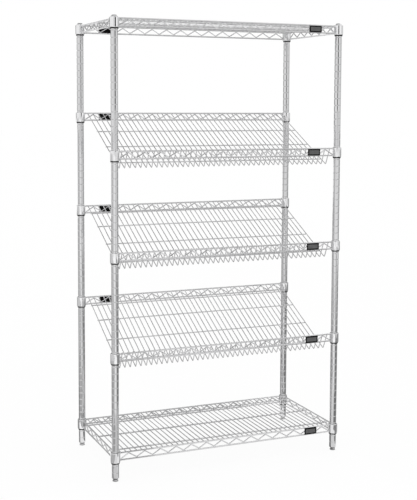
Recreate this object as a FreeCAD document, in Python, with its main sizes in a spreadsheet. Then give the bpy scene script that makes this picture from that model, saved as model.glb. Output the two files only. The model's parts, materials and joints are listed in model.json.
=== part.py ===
import FreeCAD, Part
import math
import os

import Sketcher

# Wire shelving unit on four grooved posts: a flat shelf at the top, three shelves that slant
# down to the front, and a flat shelf at the bottom. The origin is on the floor at the middle
# of the unit, X to the right, Y to the back, Z up, millimetres.
#
# Every shelf is drawn from the axis of its front left post, with Z = 0 at the bottom of the
# split sleeves that its front collars sit on, and is then placed on its groove of the posts.

Vector = FreeCAD.Vector
Constraint = Sketcher.Constraint

SIZES = {
    # posts: tubes with a ring groove every inch
    "post_spacing_x": 880.0,
    "post_spacing_y": 420.0,
    "post_diameter": 25.4,
    "post_wall": 1.5,
    "post_floor_gap": 12.5,
    "post_head": 20.0,
    "groove_pitch": 25.4,
    "groove_count": 63,
    "first_groove_height": 32.7,
    "groove_depth": 0.9,
    "groove_mouth": 3.2,
    "groove_floor": 1.4,
    # grooves that carry the shelves, counted from the floor; the top shelf is on the last one
    "bottom_groove": 3,
    "lower_groove": 17,
    "middle_groove": 31,
    "upper_groove": 45,
    "slant_grooves": 5,
    # caps in the tops of the posts
    "cap_height": 7.0,
    "cap_edge": 1.4,
    "cap_flat_diameter": 11.0,
    "cap_plug_length": 14.0,
    # levelling feet and the threaded inserts that hold them
    "foot_diameter": 21.0,
    "foot_height": 2.5,
    "foot_edge": 0.6,
    "hex_width": 17.0,
    "hex_height": 5.0,
    "stem_diameter": 9.5,
    "stem_length": 29.5,
    "insert_flange": 2.5,
    "insert_taper": 2.2,
    "insert_length": 24.0,
    # split sleeves, wedged between post and collar
    "sleeve_low_diameter": 30.0,
    "sleeve_high_diameter": 27.8,
    "sleeve_height": 36.0,
    "sleeve_half_angle": 174.0,
    "rib_height": 20.0,
    # collars of the shelves
    "collar_diameter": 34.0,
    "collar_height": 35.8,
    "collar_edge": 2.4,
    "sleeve_peek": 4.2,
    # trusses: two rim wires with a bent wire between them
    "rim_diameter": 5.5,
    "low_rim_height": 10.5,
    "rim_spacing": 26.0,
    "truss_diameter": 4.2,
    "truss_period": 60.0,
    "truss_bend": 6.0,
    # decks
    "deck_diameter": 3.6,
    "flat_deck_pitch": 20.0,
    "flat_deck_margin": 17.0,
    "support_diameter": 5.0,
    "support_inset": 44.0,
    "slanted_deck_pitch": 20.1,
    "slanted_deck_margin": 27.0,
    "deck_slant": 26.0,
    "deck_bend": 5.0,
    "lip_overrun": 1.0,
    "cross_diameter": 4.2,
    # label holders on the trusses
    "label_length": 51.0,
    "label_height": 25.0,
    "label_thickness": 2.6,
    "label_border": 4.5,
    "label_recess": 1.3,
    "label_shift": 10.0,
    "card_thickness": 0.8,
    "lug_width": 6.0,
    "lug_thickness": 1.4,
    "lug_hook": 0.8,
    # clearances
    "press_clearance": 0.1,
    "seat_clearance": 0.3,
    "thread_clearance": 0.3,
    "weld_gap": 0.02,
    "overrun": 1.0,
}

# places of the cross wires along a slanted deck, from its back rim to its front bend
CROSS_WIRE_SHARES = (0.11, 0.33, 0.61, 0.89)

doc = FreeCAD.newDocument("slanted_shelving_unit")
sheet = doc.addObject("Spreadsheet::Sheet", "size")
for row, (name, number) in enumerate(SIZES.items(), start=1):
    sheet.set(f"A{row}", name)
    sheet.set(f"B{row}", str(number))
    sheet.setAlias(f"B{row}", name)
doc.recompute()

nodes = []

# Formulas in the sheet's names that several pieces share.
POST_RADIUS = "size.post_diameter / 2"
TUBE_BORE = f"({POST_RADIUS} - size.post_wall)"
POST_LENGTH = ("(size.first_groove_height + (size.groove_count - 1) * size.groove_pitch"
               " + size.post_head - size.post_floor_gap)")
POST_TOP = f"(size.post_floor_gap + {POST_LENGTH})"
DROP = "(size.slant_grooves * size.groove_pitch)"
COLLAR_RADIUS = "size.collar_diameter / 2"
COLLAR_TOP = "(size.sleeve_peek + size.collar_height)"
SLEEVE_TAPER = "((size.sleeve_low_diameter - size.sleeve_high_diameter) / 2 / size.sleeve_height)"
RIM_RADIUS = "size.rim_diameter / 2"
RIM_END = f"({RIM_RADIUS} + size.weld_gap)"
TOP_RIM = "(size.low_rim_height + size.rim_spacing)"
STEM_RADIUS = "size.stem_diameter / 2"
COS = "cos(size.deck_slant)"
SIN = "sin(size.deck_slant)"


def value(formula):
    """The number that a formula in the sheet's names stands for now."""
    return float(sheet.evalExpression(formula))


def level(groove):
    """Height of the sleeves' bottom when their rib sits in this groove of the posts."""
    return (f"size.first_groove_height + ({groove} - 1) * size.groove_pitch"
            " - size.rib_height")


# Drawing helpers

def new_body(label, x, y, z):
    """A body that is a node of its own, placed by three formulas."""
    body = doc.addObject("PartDesign::Body", label)
    body.Label = label
    for axis, formula in zip("xyz", (x, y, z)):
        body.setExpression(f"Placement.Base.{axis}", formula)
    nodes.append(body)
    return body


def shelf_body(label, groove, x_sign=-1):
    """A body drawn from the axis of the front left or right post, on the given groove."""
    return new_body(label, f"{x_sign} * size.post_spacing_x / 2", "-size.post_spacing_y / 2",
                    level(groove))


def origin(body, role):
    """One of the body's own origin planes or axes."""
    return next(part for part in body.Origin.OriginFeatures if part.Role == role)


def new_sketch(body, name, plane, offset="0"):
    """A sketch on an origin plane, moved along that plane's normal by a formula."""
    sketch = body.newObject("Sketcher::SketchObject", name)
    sketch.AttachmentSupport = (origin(body, plane), [""])
    sketch.MapMode = "FlatFace"
    sketch.setExpression("AttachmentOffset.Base.z", offset)
    return sketch


def bind(sketch, constraint, formula):
    """Adds a dimension to a sketch and ties it to a formula."""
    index = sketch.addConstraint(constraint)
    sketch.setExpression(f"Constraints[{index}]", formula)


def pin(sketch, geometry, point, x, y):
    """Ties a point of a sketch to two formulas, measured from the sketch's origin."""
    bind(sketch, Constraint("DistanceX", -1, 1, geometry, point, value(x)), x)
    bind(sketch, Constraint("DistanceY", -1, 1, geometry, point, value(y)), y)


def polygon(sketch, corners):
    """A closed outline of straight lines through corners given as pairs of formulas."""
    points = [Vector(value(x), value(y), 0) for x, y in corners]
    lines = []
    for start, end in zip(points, points[1:] + points[:1]):
        lines.append(sketch.addGeometry(Part.LineSegment(start, end)))
    for line, following in zip(lines, lines[1:] + lines[:1]):
        sketch.addConstraint(Constraint("Coincident", line, 2, following, 1))
    for line, (x, y) in zip(lines, corners):
        pin(sketch, line, 1, x, y)


def rectangle(sketch, left, right, low, high):
    """An upright rectangle between four formulas."""
    polygon(sketch, [(left, low), (right, low), (right, high), (left, high)])


def circle(sketch, x, y, diameter):
    """A circle whose centre and diameter are formulas."""
    radius = value(diameter) / 2
    ring = sketch.addGeometry(Part.Circle(Vector(value(x), value(y), 0), Vector(0, 0, 1), radius))
    pin(sketch, ring, 3, x, y)
    bind(sketch, Constraint("Diameter", ring, 2 * radius), diameter)


def pad(body, name, sketch, length, backwards=False, both_ways=False):
    """Material along the sketch's normal."""
    feature = body.newObject("PartDesign::Pad", name)
    feature.Profile = sketch
    feature.setExpression("Length", length)
    feature.Reversed = backwards
    feature.Midplane = both_ways
    doc.recompute()
    return feature


def turn(body, name, sketch, angle="360", kind="Revolution"):
    """Material, or a groove, turned about the sketch's upright axis."""
    feature = body.newObject(f"PartDesign::{kind}", name)
    feature.Profile = sketch
    feature.ReferenceAxis = (sketch, ["V_Axis"])
    feature.setExpression("Angle", angle)
    doc.recompute()
    return feature


def row(body, name, features, axis, count, length):
    """Copies of some features in a straight row; count includes the first."""
    pattern = body.newObject("PartDesign::LinearPattern", name)
    pattern.Originals = features
    pattern.Direction = axis
    pattern.setExpression("Length", length)
    pattern.setExpression("Occurrences", count)
    body.Tip = pattern
    doc.recompute()
    return pattern


def slope_line(body, drop):
    """Direction and distance from the front posts to the back posts of a shelf."""
    sketch = new_sketch(body, "front_to_back", "YZ_Plane")
    end = Vector(value("size.post_spacing_y"), value(drop), 0)
    line = sketch.addGeometry(Part.LineSegment(Vector(0, 0, 0), end))
    pin(sketch, line, 1, "0", "0")
    pin(sketch, line, 2, "size.post_spacing_y", drop)
    doc.recompute()
    return (sketch, ["Edge1"]), f"sqrt(size.post_spacing_y ^ 2 + {drop} ^ 2)"


def front_and_back(body, name, drop):
    """Repeats the whole body so far at the back posts of a shelf."""
    direction, distance = slope_line(body, drop)
    pattern = body.newObject("PartDesign::LinearPattern", name)
    pattern.TransformMode = "Whole shape"
    pattern.Direction = direction
    pattern.setExpression("Length", distance)
    pattern.Occurrences = 2
    body.Tip = pattern
    doc.recompute()


def at_four_posts(body, name):
    """Repeats the whole body so far at the other three posts."""
    direction, distance = slope_line(body, "0")
    pattern = body.newObject("PartDesign::LinearPattern", name)
    pattern.TransformMode = "Whole shape"
    pattern.Direction = (origin(body, "X_Axis"), [""])
    pattern.setExpression("Length", "size.post_spacing_x")
    pattern.Occurrences = 2
    pattern.Direction2 = direction
    pattern.setExpression("Length2", distance)
    pattern.Occurrences2 = 2
    body.Tip = pattern
    doc.recompute()


# Posts, caps, inserts and feet

def make_post(label):
    """The front left post: a tube with ring grooves."""
    body = new_body(label, "-size.post_spacing_x / 2", "-size.post_spacing_y / 2", "0")
    section = new_sketch(body, "tube_section", "XY_Plane", "size.post_floor_gap")
    circle(section, "0", "0", "size.post_diameter")
    circle(section, "0", "0", f"2 * {TUBE_BORE}")
    pad(body, "tube", section, POST_LENGTH)
    notch = new_sketch(body, "groove_section", "XZ_Plane")
    middle = "size.first_groove_height"
    floor = f"{POST_RADIUS} - size.groove_depth"
    outside = f"{POST_RADIUS} + size.overrun"
    polygon(notch, [
        (floor, f"{middle} - size.groove_floor / 2"),
        (POST_RADIUS, f"{middle} - size.groove_mouth / 2"),
        (outside, f"{middle} - size.groove_mouth / 2"),
        (outside, f"{middle} + size.groove_mouth / 2"),
        (POST_RADIUS, f"{middle} + size.groove_mouth / 2"),
        (floor, f"{middle} + size.groove_floor / 2"),
    ])
    groove = turn(body, "groove", notch, kind="Groove")
    row(body, "grooves", [groove], (origin(body, "Z_Axis"), [""]), "size.groove_count",
        "(size.groove_count - 1) * size.groove_pitch")
    return body


def mirror_post(label, source, normal):
    """The same post on the other side of the unit's middle plane."""
    twin = doc.addObject("Part::Mirroring", label)
    twin.Label = label
    twin.Source = source
    twin.Normal = normal
    doc.recompute()
    nodes.append(twin)
    return twin


def make_caps():
    """Domed caps, each with a plug inside its post."""
    body = new_body("post_caps", "-size.post_spacing_x / 2", "-size.post_spacing_y / 2", POST_TOP)
    profile = new_sketch(body, "cap_profile", "XZ_Plane")
    plug = f"{TUBE_BORE} - size.press_clearance"
    corners = [
        ("0", "-size.cap_plug_length"), (plug, "-size.cap_plug_length"), (plug, "0"),
        (POST_RADIUS, "0"), (POST_RADIUS, "size.cap_edge"),
        ("size.cap_flat_diameter / 2", "size.cap_height"), ("0", "size.cap_height"),
    ]
    points = [Vector(value(x), value(y), 0) for x, y in corners]
    rise = value("size.cap_height - size.cap_edge")
    run = value(f"{POST_RADIUS} - size.cap_flat_diameter / 2")
    radius = (rise ** 2 + run ** 2) / (2 * rise)
    crown = Vector(points[5].x, points[5].y - radius, 0)
    lean = math.atan2(points[4].x - crown.x, points[4].y - crown.y) / 2
    shoulder = crown + Vector(math.sin(lean), math.cos(lean), 0) * radius
    edges = [Part.LineSegment(a, b) for a, b in zip(points, points[1:] + points[:1])]
    edges[4] = Part.Arc(points[4], shoulder, points[5])
    lines = [profile.addGeometry(edge) for edge in edges]
    arc, flat = lines[4], lines[5]
    # an arc runs anticlockwise, here from the edge of the cap up to its flat top
    for line, following in zip(lines, lines[1:] + lines[:1]):
        if following != flat:
            profile.addConstraint(Constraint("Coincident", line, 2, following, 1))
    profile.addConstraint(Constraint("Tangent", arc, 2, flat, 1))
    for line, (x, y) in zip(lines, corners):
        if line != arc:
            pin(profile, line, 1, x, y)
    pin(profile, arc, 1, *corners[4])
    turn(body, "cap", profile)
    at_four_posts(body, "caps")


def make_inserts():
    """Threaded inserts in the feet of the posts."""
    body = new_body("foot_inserts", "-size.post_spacing_x / 2", "-size.post_spacing_y / 2",
                    "size.post_floor_gap")
    profile = new_sketch(body, "insert_profile", "XZ_Plane")
    bore = f"{STEM_RADIUS} + size.thread_clearance"
    plug = f"{TUBE_BORE} - size.press_clearance"
    polygon(profile, [
        (bore, "-size.insert_flange"), (f"{POST_RADIUS} - size.insert_taper", "-size.insert_flange"),
        (POST_RADIUS, "0"), (plug, "0"), (plug, "size.insert_length"), (bore, "size.insert_length"),
    ])
    turn(body, "insert", profile)
    at_four_posts(body, "inserts")


def hexagon(sketch, width):
    """A hexagon about the sketch's origin, with two of its flats along X."""
    corner = f"{width} / sqrt(3)"
    polygon(sketch, [
        (corner, "0"), (f"{corner} / 2", f"{width} / 2"), (f"-{corner} / 2", f"{width} / 2"),
        (f"-{corner}", "0"), (f"-{corner} / 2", f"-{width} / 2"), (f"{corner} / 2", f"-{width} / 2"),
    ])


def make_foot(label, x_sign, y_sign):
    """A levelling foot: a disc on the floor, a hexagon to turn it by, and a stem up into its post."""
    body = new_body(label, f"{x_sign} * size.post_spacing_x / 2",
                    f"{y_sign} * size.post_spacing_y / 2", "0")
    profile = new_sketch(body, "foot_profile", "XZ_Plane")
    rim = "size.foot_diameter / 2"
    inner = f"{rim} - size.foot_edge"
    top = "size.foot_height + size.hex_height + size.stem_length"
    polygon(profile, [
        ("0", "0"), (inner, "0"), (rim, "size.foot_edge"),
        (rim, "size.foot_height - size.foot_edge"), (inner, "size.foot_height"),
        (STEM_RADIUS, "size.foot_height"), (STEM_RADIUS, top), ("0", top),
    ])
    turn(body, "foot", profile)
    flats = new_sketch(body, "hexagon_outline", "XY_Plane", "size.foot_height")
    hexagon(flats, "size.hex_width")
    pad(body, "hexagon", flats, "size.hex_height")


# Pieces that every shelf has

def make_sleeves(label, groove, drop, x_sign):
    """Split sleeves of a front and a back post; the rib inside each half sits in a groove."""
    body = shelf_body(label, groove, x_sign)
    profile = new_sketch(body, "half_profile", "XZ_Plane")
    bore = f"{POST_RADIUS} + size.press_clearance"
    ridge = f"{POST_RADIUS} - size.groove_depth + size.press_clearance"
    half_root = "(size.groove_mouth / 2 - size.press_clearance)"
    half_ridge = "(size.groove_floor / 2 - size.press_clearance)"
    polygon(profile, [
        (bore, "0"), ("size.sleeve_low_diameter / 2", "0"),
        ("size.sleeve_high_diameter / 2", "size.sleeve_height"), (bore, "size.sleeve_height"),
        (bore, f"size.rib_height + {half_root}"), (ridge, f"size.rib_height + {half_ridge}"),
        (ridge, f"size.rib_height - {half_ridge}"), (bore, f"size.rib_height - {half_root}"),
    ])
    half = turn(body, "half", profile, "size.sleeve_half_angle")
    half.Midplane = True
    doc.recompute()
    pair = body.newObject("PartDesign::PolarPattern", "pair")
    pair.Originals = [half]
    pair.Axis = (origin(body, "Z_Axis"), [""])
    pair.Angle = 360
    pair.Occurrences = 2
    body.Tip = pair
    doc.recompute()
    front_and_back(body, "sleeves", drop)


def make_collars(label, groove, drop, x_sign):
    """Collars round the sleeves of a front and a back post, bored to the sleeves' taper."""
    body = shelf_body(label, groove, x_sign)
    profile = new_sketch(body, "collar_profile", "XZ_Plane")

    def bore(height):
        return f"size.sleeve_low_diameter / 2 - {SLEEVE_TAPER} * {height} + size.seat_clearance"

    low = "size.sleeve_peek"
    edge = f"{COLLAR_RADIUS} - size.collar_edge / 2"
    polygon(profile, [
        (bore(low), low), (edge, low), (COLLAR_RADIUS, f"{low} + size.collar_edge"),
        (COLLAR_RADIUS, f"{COLLAR_TOP} - size.collar_edge"), (edge, COLLAR_TOP),
        (bore(COLLAR_TOP), COLLAR_TOP),
    ])
    turn(body, "collar", profile)
    front_and_back(body, "collars", drop)


def rim_pair(body, name, plane, span, backwards):
    """A low and a high rim wire from collar to collar."""
    reach = f"({COLLAR_RADIUS} + size.weld_gap)"
    offset = f"-{reach}" if backwards else reach
    section = new_sketch(body, f"{name}_section", plane, offset)
    for height in ("size.low_rim_height", TOP_RIM):
        circle(section, "0", height, "size.rim_diameter")
    return pad(body, name, section, f"{span} - 2 * {reach}", backwards)


def make_rims(label, groove, drop, sides):
    """Rim wires of the front and back trusses, and of the side trusses on a flat shelf."""
    body = shelf_body(label, groove)
    rim_pair(body, "front_rims", "YZ_Plane", "size.post_spacing_x", False)
    front_and_back(body, "long_rims", drop)
    if sides:
        left = rim_pair(body, "left_rims", "XZ_Plane", "size.post_spacing_y", True)
        row(body, "side_rims", [left], (origin(body, "X_Axis"), [""]), "2", "size.post_spacing_x")


def wave_count(span):
    """Whole waves of the bent truss wire that fit between two collars."""
    return f"floor(({span} - size.collar_diameter) / size.truss_period)"


def wave_margin(span):
    """Distance from the post's axis to the first low bend of a truss wire."""
    return f"({span} - {wave_count(span)} * size.truss_period) / 2"


def wave(body, name, plane, span, mirrored):
    """One wave of a truss wire: low bend, leg, high bend, leg, low bend."""
    bend = "size.truss_bend"
    reach = f"({RIM_RADIUS} + size.truss_diameter / 2 + size.weld_gap)"
    low = f"(size.low_rim_height + {reach})"
    high = f"({TOP_RIM} - {reach})"
    start = f"({wave_margin(span)})"
    middle = f"{start} + size.truss_period / 2"
    end = f"{start} + size.truss_period"
    radius = value(bend)
    first = Vector(value(start), value(low) + radius, 0)
    crest = Vector(value(middle), value(high) - radius, 0)
    last = Vector(value(end), first.y, 0)
    across = crest - first
    lean = math.atan2(across.y, across.x) + math.asin(2 * radius / across.Length)
    out = Vector(math.sin(lean), -math.cos(lean), 0) * radius
    back = Vector(out.x, -out.y, 0)
    down = Vector(0, -radius, 0)

    def arc(centre, begin, finish):
        half_way = begin + finish
        half_way.normalize()
        return Part.Arc(centre + begin, centre + half_way * radius, centre + finish)

    path = new_sketch(body, f"{name}_path", plane)
    low_left = path.addGeometry(arc(first, down, out))
    rising = path.addGeometry(Part.LineSegment(first + out, crest - out))
    high_bend = path.addGeometry(arc(crest, back, out * -1))
    falling = path.addGeometry(Part.LineSegment(crest + back, last - back))
    low_right = path.addGeometry(arc(last, back * -1, down))
    path.addConstraint(Constraint("Tangent", low_left, 2, rising, 1))
    path.addConstraint(Constraint("Tangent", rising, 2, high_bend, 2))
    path.addConstraint(Constraint("Tangent", high_bend, 1, falling, 1))
    path.addConstraint(Constraint("Tangent", falling, 2, low_right, 1))
    for piece in (low_left, high_bend, low_right):
        bind(path, Constraint("Radius", piece, radius), bend)
    pin(path, low_left, 3, start, f"{low} + {bend}")
    pin(path, high_bend, 3, middle, f"{high} - {bend}")
    pin(path, low_right, 3, end, f"{low} + {bend}")
    path.addConstraint(Constraint("Vertical", low_left, 1, low_left, 3))
    path.addConstraint(Constraint("Vertical", low_right, 2, low_right, 3))
    doc.recompute()
    cut_plane, offset = ("XZ_Plane", f"-({start})") if mirrored else ("YZ_Plane", start)
    section = new_sketch(body, f"{name}_section", cut_plane, offset)
    circle(section, "0", low, "size.truss_diameter")
    doc.recompute()
    pipe = body.newObject("PartDesign::AdditivePipe", name)
    pipe.Profile = section
    pipe.Spine = path
    doc.recompute()
    return pipe


def make_truss_wires(label, groove, drop, sides):
    """The bent wires between the rims, each one long zigzag with round bends."""
    body = shelf_body(label, groove)
    span = "size.post_spacing_x"
    first = wave(body, "front_wave", "XZ_Plane", span, False)
    row(body, "front_waves", [first], (origin(body, "X_Axis"), [""]), wave_count(span),
        f"({wave_count(span)} - 1) * size.truss_period")
    front_and_back(body, "long_waves", drop)
    if sides:
        span = "size.post_spacing_y"
        left = wave(body, "left_wave", "YZ_Plane", span, True)
        waves = row(body, "side_waves", [left], (origin(body, "Y_Axis"), [""]), wave_count(span),
                    f"({wave_count(span)} - 1) * size.truss_period")
        waves.Direction2 = (origin(body, "X_Axis"), [""])
        waves.setExpression("Length2", "size.post_spacing_x")
        waves.Occurrences2 = 2
        doc.recompute()


def lug(body, name, x, side, back_post, rim, away):
    """A hook behind a label holder that clips over a rim wire."""
    section = new_sketch(body, f"{name}_section", "YZ_Plane", x)

    def across(distance):
        return f"{back_post} + {side} * ({distance})"

    near = f"({rim} - {away} * ({RIM_RADIUS} + size.press_clearance))"
    far = f"({near} - {away} * size.lug_thickness)"
    hook = f"({near} + {away} * size.lug_hook)"
    behind = f"-{RIM_RADIUS} - size.press_clearance"
    seat = f"{RIM_RADIUS} + size.press_clearance"
    outer = f"{behind} - size.lug_thickness"
    polygon(section, [
        (across(seat), far), (across(outer), far), (across(outer), hook),
        (across(behind), hook), (across(behind), near), (across(seat), near),
    ])
    return pad(body, name, section, "size.lug_width", both_ways=True)


def label_places(front):
    """Middle of a label, and the truss bends its two lugs sit beside, as formulas."""
    span = "size.post_spacing_x"
    crest = f"({wave_margin(span)} + 3 * size.truss_period / 2)"
    centre = f"({crest} - size.label_shift)"
    trough = f"({crest} - size.truss_period / 2)"
    if front:
        return tuple(f"({span} - {place})" for place in (centre, crest, trough))
    return centre, crest, trough


def make_labels(holder_label, card_label, groove, drop, back):
    """Label holders clipped to the outside of the trusses, and the blank cards in them."""
    holders = shelf_body(holder_label, groove)
    cards = shelf_body(card_label, groove)
    for front in (True, False) if back else (True,):
        make_label(holders, cards, front, drop)


def make_label(holders, cards, front, drop):
    """One holder and its card, on the front or the back truss."""
    end = "front" if front else "back"
    side = "-1" if front else "1"
    base, lift = ("0", "0") if front else ("size.post_spacing_y", drop)
    centre, crest, trough = label_places(front)
    seat = f"({RIM_RADIUS} + size.press_clearance)"
    middle = f"({lift} + size.low_rim_height + size.rim_spacing / 2)"

    def plate(body, name, depth, border):
        # the sketch plane faces the front, so its offset counts towards -Y
        offset = f"-1 * ({base} + {side} * ({depth}))"
        sketch = new_sketch(body, f"{end}_{name}_outline", "XZ_Plane", offset)
        half_length = f"(size.label_length / 2 - {border})"
        half_height = f"(size.label_height / 2 - {border})"
        rectangle(sketch, f"{centre} - {half_length}", f"{centre} + {half_length}",
                  f"{middle} - {half_height}", f"{middle} + {half_height}")
        return sketch

    outline = plate(holders, "holder", seat, "0")
    pad(holders, f"{end}_holder", outline, "size.label_thickness", backwards=not front)
    window = plate(holders, "window", f"{seat} + size.label_thickness", "size.label_border")
    pocket = holders.newObject("PartDesign::Pocket", f"{end}_window")
    pocket.Profile = window
    pocket.setExpression("Length", "size.label_recess")
    pocket.Reversed = not front
    doc.recompute()
    lug(holders, f"{end}_low_lug", crest, side, base, f"({lift} + size.low_rim_height)", "-1")
    lug(holders, f"{end}_high_lug", trough, side, base, f"({lift} + {TOP_RIM})", "1")
    floor = f"{seat} + size.label_thickness - size.label_recess"
    card = plate(cards, "card", floor, "(size.label_border + size.press_clearance)")
    pad(cards, f"{end}_card", card, "size.card_thickness", backwards=not front)


# Decks

def deck_gaps(margin, pitch):
    """Whole gaps between deck wires that fit between the side margins."""
    return f"floor((size.post_spacing_x - 2 * {margin}) / {pitch})"


def deck_start(margin, pitch):
    """Distance from the post's axis to the first deck wire."""
    return f"((size.post_spacing_x - {deck_gaps(margin, pitch)} * {pitch}) / 2)"


FLAT_DECK = ("size.flat_deck_margin", "size.flat_deck_pitch")
SLANTED_DECK = ("size.slanted_deck_margin", "size.slanted_deck_pitch")
FLAT_DECK_HEIGHT = f"({TOP_RIM} + {RIM_RADIUS} - size.deck_diameter / 2)"


def deck_row(body, wire, deck):
    """Repeats one deck wire over the width of the shelf."""
    gaps = deck_gaps(*deck)
    row(body, "wires", [wire], (origin(body, "X_Axis"), [""]), f"{gaps} + 1", f"{gaps} * {deck[1]}")


def make_flat_deck(label, groove):
    """Straight wires that butt on the front and back top rims, flush with their tops."""
    body = shelf_body(label, groove)
    # the sketch plane faces the front, so its offset counts towards -Y
    section = new_sketch(body, "wire_section", "XZ_Plane", f"-{RIM_END}")
    circle(section, deck_start(*FLAT_DECK), FLAT_DECK_HEIGHT, "size.deck_diameter")
    wire = pad(body, "wire", section, f"size.post_spacing_y - 2 * {RIM_END}", backwards=True)
    deck_row(body, wire, FLAT_DECK)


def make_supports(label, groove):
    """Long wires that carry a flat deck from side truss to side truss."""
    body = shelf_body(label, groove)
    height = f"{FLAT_DECK_HEIGHT} - (size.deck_diameter + size.support_diameter) / 2 - size.weld_gap"
    section = new_sketch(body, "support_sections", "YZ_Plane", RIM_END)
    for place in ("size.support_inset", "size.post_spacing_y / 2",
                  "size.post_spacing_y - size.support_inset"):
        circle(section, place, height, "size.support_diameter")
    pad(body, "supports", section, f"size.post_spacing_x - 2 * {RIM_END}")


# A slanted deck wire butts on the back truss's top rim, runs straight down to the front bend
# and turns up at a right angle into a lip that passes behind the front truss's top rim.
LIP_SIDE = f"({RIM_RADIUS} + size.deck_diameter / 2 + size.weld_gap)"
DECK_BACK_Y = f"(size.post_spacing_y - {RIM_END} * {COS})"
DECK_BACK_Z = f"({DROP} + {TOP_RIM} - {RIM_END} * {SIN})"
LIP_END_Y = f"({LIP_SIDE} * {COS} - size.lip_overrun * {SIN})"
LIP_END_Z = f"({TOP_RIM} + {LIP_SIDE} * {SIN} + size.lip_overrun * {COS})"
DECK_LENGTH = (f"(({DECK_BACK_Y} - {LIP_END_Y}) * {COS}"
               f" + ({DECK_BACK_Z} - {LIP_END_Z}) * {SIN})")


def make_slanted_deck(label, groove):
    """Bent wires: a sloping deck that turns up into a lip along the front."""
    body = shelf_body(label, groove)
    path = new_sketch(body, "wire_path", "YZ_Plane", deck_start(*SLANTED_DECK))
    angle = math.radians(value("size.deck_slant"))
    down = Vector(-math.cos(angle), -math.sin(angle), 0)
    rise = Vector(-math.sin(angle), math.cos(angle), 0)
    radius = value("size.deck_bend")
    back = Vector(value(DECK_BACK_Y), value(DECK_BACK_Z), 0)
    lip_end = Vector(value(LIP_END_Y), value(LIP_END_Z), 0)
    corner = back + down * value(DECK_LENGTH)
    before = corner - down * radius
    after = corner + rise * radius
    centre = before + rise * radius
    belly = centre + (down - rise) * (radius / math.sqrt(2))
    deck = path.addGeometry(Part.LineSegment(back, before))
    bend = path.addGeometry(Part.Arc(before, belly, after))
    lip = path.addGeometry(Part.LineSegment(after, lip_end))
    # the arc runs anticlockwise, so it starts at the lip
    path.addConstraint(Constraint("Tangent", deck, 2, bend, 2))
    path.addConstraint(Constraint("Tangent", bend, 1, lip, 1))
    path.addConstraint(Constraint("Perpendicular", deck, lip))
    bind(path, Constraint("Radius", bend, radius), "size.deck_bend")
    pin(path, deck, 1, DECK_BACK_Y, DECK_BACK_Z)
    pin(path, lip, 2, LIP_END_Y, LIP_END_Z)
    bind(path, Constraint("Angle", -1, 1, deck, 2, angle), "size.deck_slant * 1 deg")
    doc.recompute()
    section = body.newObject("Sketcher::SketchObject", "wire_section")
    section.AttachmentSupport = (path, ["Edge1"])
    section.MapMode = "NormalToEdge"
    circle(section, "0", "0", "size.deck_diameter")
    doc.recompute()
    wire = body.newObject("PartDesign::AdditivePipe", "wire")
    wire.Profile = section
    wire.Spine = path
    doc.recompute()
    deck_row(body, wire, SLANTED_DECK)


def make_cross_wires(label, groove):
    """Long wires welded under a slanted deck."""
    body = shelf_body(label, groove)
    start = f"({deck_start(*SLANTED_DECK)} - size.deck_diameter / 2)"
    under = "((size.deck_diameter + size.cross_diameter) / 2 + size.weld_gap)"
    section = new_sketch(body, "cross_sections", "YZ_Plane", start)
    for share in CROSS_WIRE_SHARES:
        along = f"{share} * {DECK_LENGTH}"
        circle(section, f"{DECK_BACK_Y} - {along} * {COS} + {under} * {SIN}",
               f"{DECK_BACK_Z} - {along} * {SIN} - {under} * {COS}", "size.cross_diameter")
    pad(body, "cross_wires", section, f"size.post_spacing_x - 2 * {start}")


# Assembly

SIDES = (("left", -1), ("right", 1))


def make_corners(name, groove, drop):
    """What holds a shelf on its posts, on the left and on the right."""
    for side_name, x_sign in SIDES:
        make_sleeves(f"{name}_{side_name}_sleeves", groove, drop, x_sign)
        make_collars(f"{name}_{side_name}_collars", groove, drop, x_sign)


def make_flat_shelf(name, groove, back_label):
    """A level shelf with trusses on all four sides."""
    make_corners(name, groove, "0")
    make_rims(f"{name}_rim_wires", groove, "0", True)
    make_truss_wires(f"{name}_truss_wires", groove, "0", True)
    make_flat_deck(f"{name}_deck_wires", groove)
    make_supports(f"{name}_support_wires", groove)
    make_labels(f"{name}_label_holders", f"{name}_label_cards", groove, "0", back_label)


def make_slanted_shelf(name, groove):
    """A shelf that hangs between a low front truss and a high back truss."""
    make_corners(name, groove, DROP)
    make_rims(f"{name}_rim_wires", groove, DROP, False)
    make_truss_wires(f"{name}_truss_wires", groove, DROP, False)
    make_slanted_deck(f"{name}_deck_wires", groove)
    make_cross_wires(f"{name}_cross_wires", groove)
    make_labels(f"{name}_label_holders", f"{name}_label_cards", groove, DROP, True)


front_left = make_post("post_front_left")
front_right = mirror_post("post_front_right", front_left, Vector(1, 0, 0))
mirror_post("post_back_left", front_left, Vector(0, 1, 0))
mirror_post("post_back_right", front_right, Vector(0, 1, 0))
make_caps()
make_inserts()
for depth_name, y_sign in (("front", -1), ("back", 1)):
    for side_name, x_sign in SIDES:
        make_foot(f"foot_{depth_name}_{side_name}", x_sign, y_sign)
make_flat_shelf("top", "size.groove_count", True)
make_slanted_shelf("upper", "size.upper_groove")
make_slanted_shelf("middle", "size.middle_groove")
make_slanted_shelf("lower", "size.lower_groove")
make_flat_shelf("bottom", "size.bottom_groove", False)
doc.recompute()

for item in doc.Objects:
    if "Invalid" in item.State or "Error" in item.State:
        raise RuntimeError(f"{item.Label} did not build")
for node in nodes:
    if node.Shape.isNull() or not node.Shape.isValid():
        raise RuntimeError(f"{node.Label} has no valid shape")

os.makedirs("parts", exist_ok=True)
for node in nodes:
    node.Shape.exportStep(f"parts/{node.Label}.step")
    print(node.Label, len(node.Shape.Solids), "solids", round(node.Shape.Volume), "mm3")
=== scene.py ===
import json
import math

import bmesh
import bpy
import numpy as np
from mathutils import Matrix, Vector


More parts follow.
